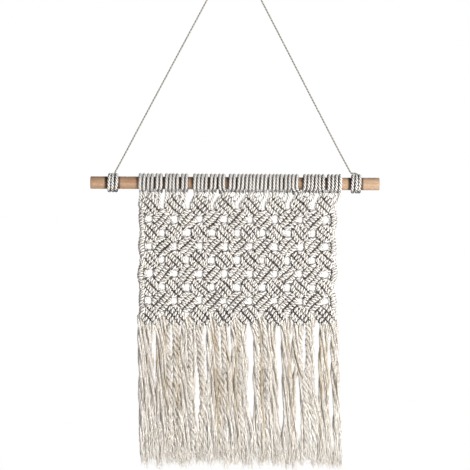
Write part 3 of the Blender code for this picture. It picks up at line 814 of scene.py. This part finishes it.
draw = random.Random(612)
block_pulls = {
    (column, level): corner_pulls(column, level, draw)
    for level in range(1, LEVELS + 1)
    for column in blocks(level)
}
pressed = laid_cotton("pressed_cotton", PALE_COTTON, GREY_COTTON, PAINTED_SHADE_COTTON, 0.7)
fine_inputs = cord_inputs | {"Corners": FINE_CORNERS, "Groove": FINE_GROOVE, "Material": pressed}
panel_piece("crown_cords", crown_routes(draw), cord_inputs)
for level in range(1, LEVELS + 1):
    hitches = []
    for column in blocks(level):
        at = partial(in_block, column, level)
        for bar in THIRDS:
            places = THIRDS[:2] if level == LEVELS and bar == THIRDS[2] else THIRDS
            hitches += [hitch_route(at, place, bar, HALF_GAP, WRAP_ACROSS, draw) for place in places]
    panel_piece(f"hitches_level_{level}", hitches, fine_inputs, off_bars, HITCH_SHADE)
cores = []
for level in range(1, LEVELS + 1):
    for column in blocks(level):
        cores += [core_route(column, level, bar, draw) for bar in THIRDS]
core_inputs = fine_inputs | {"Step": CORE_STEP, "Corners": 2}
panel_piece("carrying_cords", cores, core_inputs, strength=CORE_SHADE)
panel_piece("side_turns", turned_routes(draw), fine_inputs)
edge_hitches = []
for level in range(2, LEVELS, 2):
    for left in (True, False):
        at = partial(beside_opening, left, level)
        for place in EDGE_PLACES:
            edge_hitches.append(hitch_route(at, place, 0.0, EDGE_HALF_GAP, EDGE_BAR_ACROSS, draw))
panel_piece("edge_hitches", edge_hitches, fine_inputs, off_bars)

# ================================================================== fringe
# Below the last blocks the forty-eight ends hang free. Each is unlaid into its three strands, and these are
# combed out into wavy yarns that part here and there and end a little unevenly.

FRINGE_MIDDLE_Z = dowel_axis.z - 0.2958  # mean height of the cut ends
PLIES = 3
YARNS = 8
YARN_RADIUS = 0.00046
YARN_STEP = 0.0026
GUIDE_STEP = 0.0020
ROOT_SPREAD = 0.00155  # from a cord's middle to its strands' middles, at the root
TIP_SPREAD = 0.00170
YARN_ROOT_SPREAD = 0.00075  # and from a strand's middle to its yarns'
YARN_TIP_SPREAD = 0.00110
TWIST_LENGTH = 0.032  # the yarns go once round their strand in this length at the root
TWIST_EASES = 0.05  # and their twist fades out in about this length
YARNS_SWELL = 0.02  # while they spread apart in about this one
CRIMP_SCALE = (190.0, 90.0, 1.0)  # of the crimp's pattern along a yarn, from yarn to yarn and by tone
FRIZZ = 0.0016  # how far a yarn strays from its twist
CUT_SHARE = -0.07  # of its length that the shortest yarn of a strand lacks
YARN_SEED = 5
WAVE_PACES = (30, 130)  # radians to each metre of a strand's slow waves
WAVE_SIZES = (0.3, 1.0)
CORD_WAVES = 0.0005
STRAND_WAVES = 0.0003
FREE_SHARE = 0.25  # of its length from the knots, where a cord's end has become free to wander
TONE_SHARE = 0.15  # of a strand's tone that is its own and not its cord's
FRINGE_DEPTH = 0.0017  # from the fringe's middle to where its yarns catch full light
FRINGE_SHADE = 1.0
FLUFF_LENGTH = 0.005  # below the knots, the strands swell to their full width in about this length
FLARE = 0.010  # the cords spread out evenly within about this length below the knots
ROPY = 0.30  # this share of the cords' ends keeps its lay, the rest is combed straight
ROPY_LAY = (0.017, 0.032)  # at the root and at the tip
LOOSE_LAY = (0.050, 0.220)
TIP_LAY_UNEVEN = (0.6, 1.4)
RAGGED = 0.0032  # how far the cut ends lie above or below their mean height, at the most
DRIFT = 0.0054  # the combed yarns hang over to the right by this much at their ends
FAN = 0.020  # and fan out by this share of their place
HANG_POWER = 1.3
SQUEEZE = 0.985  # the ends hang this much closer together than the knots they leave
FRINGE_PARTS = 3
WARM_COTTON = (0.96, 0.925, 0.865, 1)
COOL_COTTON = (0.80, 0.785, 0.765, 1)
BEIGE_COTTON = (0.58, 0.480, 0.335, 1)
SHADED_COTTON = (0.36, 0.295, 0.225, 1)
COMBED_SCALE = (90.0, 60.0, 30.0)  # of the colour's pattern along a yarn, from yarn to yarn and by tone
WARM_FROM = 0.03  # below the knots, where the beige has come in fully
PALE_TIP_FROM = 0.070  # and from here to PALE_TIP_TO the yarns turn paler
PALE_TIP_TO = 0.145
COMBED_DEPTH = 0.0004

# Where the fringe parts: place is measured from the origin, top and bottom from the dowel's axis down
Parting = namedtuple("Parting", "place width top bottom")
PARTINGS = (
    Parting(-0.0815, 0.0028, 0.144, 0.226),
    Parting(-0.0621, 0.0027, 0.141, 0.224),
    Parting(-0.0537, 0.0029, 0.139, 0.176),
    Parting(-0.0443, 0.0035, 0.164, 0.208),
    Parting(-0.0350, 0.0038, 0.156, 0.262),
    Parting(-0.0284, 0.0033, 0.141, 0.214),
    Parting(-0.0132, 0.0027, 0.143, 0.216),
    Parting(-0.0040, 0.0022, 0.240, 0.289),
    Parting(-0.0020, 0.0036, 0.141, 0.196),
    Parting(0.0189, 0.0066, 0.142, 0.258),
    Parting(0.0320, 0.0014, 0.188, 0.262),
    Parting(0.0480, 0.0056, 0.141, 0.268),
    Parting(0.0605, 0.0032, 0.143, 0.218),
    Parting(0.0690, 0.0050, 0.188, 0.287),
    Parting(0.0758, 0.0044, 0.143, 0.200),
    Parting(0.0893, 0.0052, 0.140, 0.234),
    Parting(0.1010, 0.0034, 0.144, 0.287),
)
HEM_DROP = 0.144  # from the dowel's axis down to the lower ends of the last blocks
FRINGE_LENGTH = 0.146  # taken for which cords a parting lies between
PARTING_REACH = 0.007  # a parting's push on the cords beside it fades in about this distance
PARTING_MARGIN = 0.0003
PARTING_OPENS = 0.015  # over this length from its top
PARTING_CLOSES = 0.028  # and over this length to its bottom

# Where the six cords of one of the last blocks leave it, from left to right: s and t in the block
LEAVING = ((-0.46, 0.47), (0, 0.46), (0.15, 1 / 3), (1 / 3, 0.15), (0.46, 0), (0.47, -0.46))

Parted = namedtuple("Parted", "parting right_cord")


def hanging_place(foot, share):
    """Where a cord that leaves the panel at foot hangs, that share of its length down."""
    return foot + (DRIFT + FAN * foot) * share**HANG_POWER


def placed_parting(parting, feet):
    """The parting with the number of the first cord to its right."""
    share = ((parting.top + parting.bottom) / 2 - HEM_DROP) / FRINGE_LENGTH
    return Parted(parting, sum(hanging_place(foot, share) < parting.place for foot in feet))


def parted(number, drop, partings):
    """How far the partings push aside the cord of that number, at a drop from the dowel's axis."""
    push = 0.0
    for parting, right_cord in partings:
        opened = min(1.0, (drop - parting.top) / PARTING_OPENS, (parting.bottom - drop) / PARTING_CLOSES)
        if opened > 0:
            side = 1 if number >= right_cord else -1
            away = number - right_cord if side > 0 else right_cord - 1 - number
            reach = math.exp(-away * HALF_PITCH / 3 / PARTING_REACH)
            push += side * (parting.width / 2 + PARTING_MARGIN) * reach * opened**2 * (3 - 2 * opened)
    return push


def slow_waves(draw, size):
    """Three slow sideways waves that one strand follows: pace, phase and size of each."""
    return [
        (draw.uniform(*WAVE_PACES), draw.uniform(0, 2 * math.pi), draw.uniform(*WAVE_SIZES) * size)
        for _ in range(3)
    ]


def wander(waves, down):
    """How far the waves take a strand sideways, that far down."""
    return sum(size * math.sin(pace * down + phase) for pace, phase, size in waves)


def cord_end(number, root, foot, partings, draw):
    """The three strands of one cord's end, laid together at the root and hanging looser further down."""
    tip_z = FRINGE_MIDDLE_Z + draw.uniform(-RAGGED, RAGGED)
    length = root.z - tip_z
    sideways = slow_waves(draw, CORD_WAVES)
    forwards = slow_waves(draw, CORD_WAVES)
    root_lay, tip_lay = ROPY_LAY if draw.random() < ROPY else LOOSE_LAY
    tip_lay *= draw.uniform(*TIP_LAY_UNEVEN)
    tone = draw.random()
    routes = []
    for ply in range(PLIES):
        stray = slow_waves(draw, STRAND_WAVES)
        turn = 2 * math.pi * (ply / PLIES + tone)
        points = []
        for step in range(round(length / GUIDE_STEP) + 1):
            down = step * GUIDE_STEP
            share = down / length
            spread = ROOT_SPREAD + (TIP_SPREAD - ROOT_SPREAD) * (1 - math.exp(-down / FLUFF_LENGTH))
            loose = min(1.0, share / FREE_SHARE)
            x = hanging_place(foot, share) + (root.x - foot) * math.exp(-down / FLARE)
            x += loose * wander(sideways, down)
            x += parted(number, dowel_axis.z - root.z + down, partings) + loose * wander(stray, down)
            y = root.y + loose * wander(forwards, down)
            points.append((x + spread * math.cos(turn), y + spread * math.sin(turn), root.z - down))
            turn += 2 * math.pi * GUIDE_STEP / (root_lay + (tip_lay - root_lay) * share)
        strand_tone = (1 - TONE_SHARE) * tone + TONE_SHARE * draw.random()
        routes.append(Route(points, YARN_RADIUS, strand_tone))
    return routes


def faded(tree, along, length):
    """From 0 at the root towards 1, most of the way within that length."""
    return calc(tree, "SUBTRACT", 1.0, calc(tree, "EXPONENT", calc(tree, "MULTIPLY", along, -1 / length)))


def loose_yarns():
    """Each strand's guide becomes a bundle of wavy yarns, twisted at the root and frizzy at the tip."""
    inputs = [("Step", "Float"), ("Yarns", "Int"), ("Root spread", "Float"), ("Tip spread", "Float")]
    inputs += [("Twist length", "Float"), ("Frizz", "Float"), ("Seed", "Int"), ("Material", "Material")]
    tree, given = open_tree("loose_yarns", inputs)
    lines = put(tree, "GeometryNodeMeshToCurve", {0: given["Routes"]}).outputs[0]
    even = resampled(tree, lines, given["Step"])
    spline = tree.nodes.new("GeometryNodeSplineParameter").outputs
    measured = keep(tree, keep(tree, even, "along", spline["Length"]), "share", spline["Factor"])
    feeds = {0: measured, "Amount": given["Yarns"]}
    copies = put(tree, "GeometryNodeDuplicateElements", feeds, domain="SPLINE")
    index = tree.nodes.new("GeometryNodeInputIndex").outputs[0]
    feeds = {"ID": index, "Seed": given["Seed"]}
    drawn = put(tree, "FunctionNodeRandomValue", feeds, data_type="FLOAT").outputs[1]
    yarns = keep(tree, copies.outputs[0], "yarn", drawn, "CURVE")
    numbered = keep(tree, yarns, "number", copies.outputs[1], "CURVE")
    along, share, yarn = named(tree, "along"), named(tree, "share"), named(tree, "yarn")
    place = calc(tree, "DIVIDE", named(tree, "number"), given["Yarns"])
    eased = calc(tree, "MULTIPLY", faded(tree, along, TWIST_EASES), -TWIST_EASES)
    twist = calc(tree, "DIVIDE", eased, given["Twist length"])
    turns = calc(tree, "ADD", calc(tree, "ADD", place, twist), named(tree, "tone"))
    angle = calc(tree, "MULTIPLY", turns, 2 * math.pi)
    grown = calc(tree, "SUBTRACT", given["Tip spread"], given["Root spread"])
    spread = calc(tree, "MULTIPLY_ADD", faded(tree, along, YARNS_SWELL), grown, given["Root spread"])
    feeds = {"X": calc(tree, "MULTIPLY", spread, calc(tree, "COSINE", angle))}
    feeds["Y"] = calc(tree, "MULTIPLY", spread, calc(tree, "SINE", angle))
    ring = put(tree, "ShaderNodeCombineXYZ", feeds).outputs[0]
    down = pattern_place(tree, (along, yarn, named(tree, "tone")), CRIMP_SCALE)
    feeds = {"Vector": down, "Scale": 1.0, "Detail": 1.5}
    crimp = put(tree, "ShaderNodeTexNoise", feeds).outputs["Color"]
    feeds = {0: crimp, 1: (0.5, 0.5, 0.5)}
    even_crimp = put(tree, "ShaderNodeVectorMath", feeds, operation="SUBTRACT").outputs[0]
    frayed = calc(tree, "MULTIPLY", calc(tree, "POWER", share, 12.0), 6.0)
    growing = calc(tree, "MULTIPLY_ADD", share, 1.6, calc(tree, "ADD", frayed, 0.6))
    frizz = scaled(tree, even_crimp, calc(tree, "MULTIPLY", given["Frizz"], growing))
    offset = put(tree, "ShaderNodeVectorMath", {0: ring, 1: frizz}, operation="ADD").outputs[0]
    loose = put(tree, "GeometryNodeSetPosition", {0: numbered, "Offset": offset}).outputs[0]
    cut = calc(tree, "MULTIPLY_ADD", yarn, CUT_SHARE, 1.0)
    trimmed = put(tree, "GeometryNodeTrimCurve", {0: loose, "End": cut}, mode="FACTOR").outputs[0]
    taper = calc(tree, "SUBTRACT", 1.0, calc(tree, "MULTIPLY", calc(tree, "POWER", share, 9.0), 0.7))
    thick = calc(tree, "MULTIPLY_ADD", yarn, 0.5, 0.75)
    size = calc(tree, "MULTIPLY", named(tree, "swell"), calc(tree, "MULTIPLY", taper, thick))
    close_tree(tree, swept(tree, trimmed, circle(tree, 3), size), given["Material"])
    return tree


def combed_cotton():
    """Fine loose cotton, each cord's end paler or warmer than the next, with kinks left by the lay; painted
    shade darkens the kinks, each yarn by a random share, and the yarns deep in the fringe.
    """
    finish, tree, shader = new_finish("combed_cotton", 0.95, 0.3)
    along, yarn, tone, hollow = from_mesh(tree, "along", "yarn", "tone", "hollow")
    place = pattern_place(tree, (along, yarn, tone), COMBED_SCALE)
    mottle = remap(tree, clouds(tree, place, 2.0), 0.3, 0.7, -0.45, 0.6)
    kinks = clouds(tree, stretch(tree, place, (5.0, 1.0, 1.0)), 2.0)
    mixed = calc(tree, "MULTIPLY_ADD", calc(tree, "POWER", tone, 4.0), 1.8, mottle)
    patches = remap(tree, clouds(tree, stretch(tree, place, (0.35, 0.0, 1.0)), 1.0), 0.38, 0.58, 0.25, 0.9)
    near_knots = remap(tree, along, 0.0, WARM_FROM, 0.25, 1.0)
    warmth = calc(tree, "MULTIPLY", calc(tree, "MULTIPLY", mixed, patches), near_knots)
    cool = remap(tree, clouds(tree, stretch(tree, place, (0.4, 2.0, 7.0)), 1.0), 0.45, 0.65, 0.0, 0.8)
    pale = blend_colours(tree, cool, WARM_COTTON, COOL_COTTON)
    ground = blend_colours(tree, warmth, pale, BEIGE_COTTON)
    # painted shade in the kinks
    shaded_kinks = blend_colours(tree, remap(tree, kinks, 0.46, 0.62, 0.0, 0.45), ground, SHADED_COTTON)
    # painted shade on each yarn, by a random share
    shaded_yarns = blend_colours(tree, remap(tree, yarn, 0.3, 1.0, 0.0, 0.22), shaded_kinks, SHADED_COTTON)
    # painted shade on the yarns that lie deep in the fringe
    shaded = blend_colours(tree, calc(tree, "MULTIPLY", hollow, 0.5), shaded_yarns, SHADED_COTTON)
    pale_tip = remap(tree, along, PALE_TIP_FROM, PALE_TIP_TO, 0.0, 0.45)
    feed_finish(tree, shader, blend_colours(tree, pale_tip, shaded, WARM_COTTON), kinks, COMBED_DEPTH)
    return finish


def off_fringe(point):
    return Vector((0, 1, 0)), max(0.0, 1 - abs(point.y - HANG_Y) / FRINGE_DEPTH)


def cord_ends():
    """Where the cords leave the last blocks, left to right, and the even places that they spread out to."""
    ends = []
    for column in blocks(LEVELS):
        for number, (s, t) in enumerate(LEAVING):
            off_block = (number - (GROUP_ENDS - 1) / 2) / 3 * HALF_PITCH
            foot = lattice(column, LEVELS).x - PANEL_MIDDLE + off_block
            ends.append((in_block(column, LEVELS, s, t), PANEL_MIDDLE + foot * SQUEEZE))
    return ends


draw = random.Random(48)
yarn_tree = loose_yarns()
combed = combed_cotton()
yarn_inputs = {"Step": YARN_STEP, "Yarns": YARNS, "Root spread": YARN_ROOT_SPREAD}
yarn_inputs |= {"Tip spread": YARN_TIP_SPREAD, "Twist length": TWIST_LENGTH, "Frizz": FRIZZ}
yarn_inputs |= {"Seed": YARN_SEED, "Material": combed}
ends = cord_ends()
partings = [placed_parting(parting, [foot for root, foot in ends]) for parting in PARTINGS]
part_size = len(ends) // FRINGE_PARTS
for part in range(FRINGE_PARTS):
    plies = []
    for number in range(part * part_size, (part + 1) * part_size):
        plies += cord_end(number, *ends[number], partings, draw)
    lock = lay_cords(f"fringe_part_{part + 1}", plies, yarn_tree, yarn_inputs)
    shade_hollows(lock, off_fringe, FRINGE_SHADE, in_row)
    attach(lock, "root")
    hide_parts("fringe")

# ================================================================== hanging string and its ties
# A thin two-strand twine runs from the left tie up to where the hanging is held and down to the right tie.
# Each of its ends is caught under a short piece of the panel's cord, wound three times round the dowel.

STRING_RADIUS = 0.0009
STRING_STEP = 0.00055
STRING_LAY = 0.0064  # its two strands go once round it in this length
STRING_STRANDS = 2
STRING_TONE = 0.3
STRING_EXIT = (-0.1226, 0.0000, -0.2272)
STRING_ROUTE = (
    STRING_EXIT,
    (-0.1196, 0.0001, -0.2216),
    (-0.1121, 0.0002, -0.2075),
    (-0.0991, 0.0001, -0.1826),
    (-0.0858, -0.0001, -0.1573),
    (-0.0722, -0.0002, -0.1316),
    (-0.0586, 0.0000, -0.1057),
    (-0.0450, 0.0001, -0.0800),
    (-0.0315, 0.0001, -0.0543),
    (-0.0180, 0.0000, -0.0286),
    (-0.0091, 0.0000, -0.0116),
    (-0.0046, 0.0000, -0.0031),
    (-0.0026, 0.0000, -0.0008),
    (0.0000, 0.0000, 0.0000),
    (0.0026, 0.0000, -0.0008),
    (0.0046, 0.0000, -0.0031),
    (0.0090, 0.0000, -0.0115),
    (0.0179, 0.0000, -0.0286),
    (0.0311, -0.0001, -0.0543),
    (0.0445, -0.0002, -0.0800),
    (0.0579, -0.0001, -0.1057),
    (0.0713, 0.0001, -0.1316),
    (0.0847, 0.0002, -0.1573),
    (0.0979, 0.0002, -0.1826),
    (0.1110, 0.0001, -0.2075),
    (0.1187, 0.0000, -0.2216),
    (0.1220, 0.0000, -0.2272),
)
# Under the ties, where it no longer shows
LEFT_TUCK = ((-0.1231, -0.0040, -0.2312), (-0.1230, -0.0020, -0.2292))
RIGHT_TUCK = ((0.1246, -0.0006, -0.2276), (0.1270, -0.0012, -0.2280), (0.1290, -0.0026, -0.2292))

TieWraps = namedtuple("TieWraps", "node first second third")
TIES = (
    TieWraps("hanger_tie_left", -0.1290, -0.1253, -0.1210),
    TieWraps("hanger_tie_right", 0.1234, 0.1275, 0.1310),
)
TIE_LEAN = 0.0007
TIE_TURNS = range(20, 1061, 20)  # degrees from the back of the dowel over its top
# The twine's greys are painted shade: the thin string is given the grey of the shaded side of a white cord,
# whose lit side is lost in the white behind it. The third colour is the painted shade in its grooves.
SHADOW_GREY_TWINE = (0.44, 0.42, 0.37, 1)
SHADOW_DARK_TWINE = (0.20, 0.18, 0.15, 1)
PAINTED_SHADE_TWINE = (0.07, 0.06, 0.05, 1)


def tie_route(wraps, draw):
    """Three turns round the dowel, over its top to the front and back underneath."""
    places = (wraps.first, wraps.second, wraps.third)
    points = []
    for turn in TIE_TURNS:
        angle = math.radians(turn)
        front = (turn - 180) / 360
        lower = min(2, max(0, int(front)))
        upper = min(2, lower + 1)
        x = places[lower] + (places[upper] - places[lower]) * limited(front - lower)
        x -= TIE_LEAN * math.sin(math.radians(turn - 180))
        points.append((x, WOUND_REACH * math.cos(angle), dowel_axis.z + WOUND_REACH * math.sin(angle)))
    return Route(points, CORD_RADIUS, draw.random())


draw = random.Random(3)
for wraps in TIES:
    name = wraps.node.replace("hanger_tie", "wound_tie")
    tie = lay_cords(name, [tie_route(wraps, draw)], cord_tree, cord_inputs)
    tie_low, tie_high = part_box(wraps.node)
    shade_hollows(tie, off_dowel, HEAD_SHADE, partial(between_cords, tie_low.x, tie_high.x))
    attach(tie, "root")
    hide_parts(wraps.node)

twine = laid_cotton("thin_twine", SHADOW_GREY_TWINE, SHADOW_DARK_TWINE, PAINTED_SHADE_TWINE, 0.8, sheen=0.15)
string_points = list(LEFT_TUCK) + list(STRING_ROUTE) + list(RIGHT_TUCK)
twine_inputs = cord_inputs | {"Step": STRING_STEP, "Lay length": STRING_LAY}
twine_inputs |= {"Strands": STRING_STRANDS, "Material": twine}
string_route = Route(string_points, STRING_RADIUS, STRING_TONE)
string = lay_cords("twine_string", [string_route], cord_tree, twine_inputs)
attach(string, "root")
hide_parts("hanging_string")

# ================================================================== the picture
# A pale floor well below the hanging, white all round, and three soft lamps: a strong one in front on the
# right, a weak one in front on the left, and one behind. The camera looks at it square on, from far enough
# away that it shows almost no perspective.

VIEW_MIDDLE = Vector((0.0019, 0.0, -0.2923))
VIEW_WIDTH = 0.488  # of what the picture takes in, at the hanging
LENS = 200.0
ROLL = math.radians(-0.3)
FLOOR_DROP = 0.95
FLOOR_HALF = 1.6
WHITE = (1, 1, 1, 1)
FLOOR_GREY = (0.86, 0.86, 0.86, 1)
GLOW_BELOW = 0.42  # strength of the light from all round, from below and from above
GLOW_ABOVE = 0.18

Lamp = namedtuple("Lamp", "name place size watts")
LAMPS = (
    Lamp("key_lamp", (1.65, -1.75, -0.35), 0.7, 78.0),
    Lamp("fill_lamp", (-0.7, -2.3, -0.6), 1.2, 10.0),
    Lamp("back_lamp", (0.3, 2.4, 0.3), 1.4, 36.0),
)


def add_lamp(lamp):
    data = bpy.data.lights.new(lamp.name, "AREA")
    data.size = lamp.size
    data.energy = lamp.watts
    light = bpy.data.objects.new(lamp.name, data)
    light.location = lamp.place
    light.rotation_euler = (VIEW_MIDDLE - light.location).to_track_quat("-Z", "Y").to_euler()
    scene.collection.objects.link(light)


def add_floor():
    mesh = bpy.data.meshes.new("floor")
    z = VIEW_MIDDLE.z - FLOOR_DROP
    corners = [(x * FLOOR_HALF, y * FLOOR_HALF, z) for x, y in ((-1, -1), (1, -1), (1, 1), (-1, 1))]
    mesh.from_pydata(corners, [], [(0, 1, 2, 3)])
    finish, _, shader = new_finish("pale_floor", 0.9, 0.0)
    shader.inputs["Base Color"].default_value = FLOOR_GREY
    mesh.materials.append(finish)
    new_piece("floor", mesh)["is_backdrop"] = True


def set_world():
    """White behind everything, and a softer grey light on it that is stronger from below."""
    world = bpy.data.worlds.new("studio")
    world.use_nodes = True
    tree = world.node_tree
    direction = put(tree, "ShaderNodeTexCoord").outputs["Generated"]
    height = put(tree, "ShaderNodeSeparateXYZ", {0: direction}).outputs["Z"]
    strength = remap(tree, height, -0.6, 0.6, GLOW_BELOW, GLOW_ABOVE)
    soft = put(tree, "ShaderNodeBackground", {"Color": WHITE, "Strength": strength}).outputs[0]
    plain = put(tree, "ShaderNodeBackground", {"Color": WHITE, "Strength": 1.0}).outputs[0]
    seen = put(tree, "ShaderNodeLightPath").outputs["Is Camera Ray"]
    both = put(tree, "ShaderNodeMixShader", {0: seen, 1: soft, 2: plain}).outputs[0]
    tree.links.new(both, tree.nodes["World Output"].inputs["Surface"])
    scene.world = world


def add_camera():
    data = bpy.data.cameras.new("camera")
    data.lens = LENS
    distance = VIEW_WIDTH * LENS / data.sensor_width
    camera = bpy.data.objects.new("camera", data)
    camera.location = VIEW_MIDDLE - Vector((0, distance, 0))
    camera.rotation_euler = (math.pi / 2, ROLL, 0)
    scene.collection.objects.link(camera)
    scene.camera = camera


for lamp in LAMPS:
    add_lamp(lamp)
add_floor()
set_world()
add_camera()
scene.view_settings.view_transform = "Standard"

boxes = {"cad": (cad_low, cad_high), "visual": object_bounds()}
{name: [list(low), list(high)] for name, (low, high) in boxes.items()}
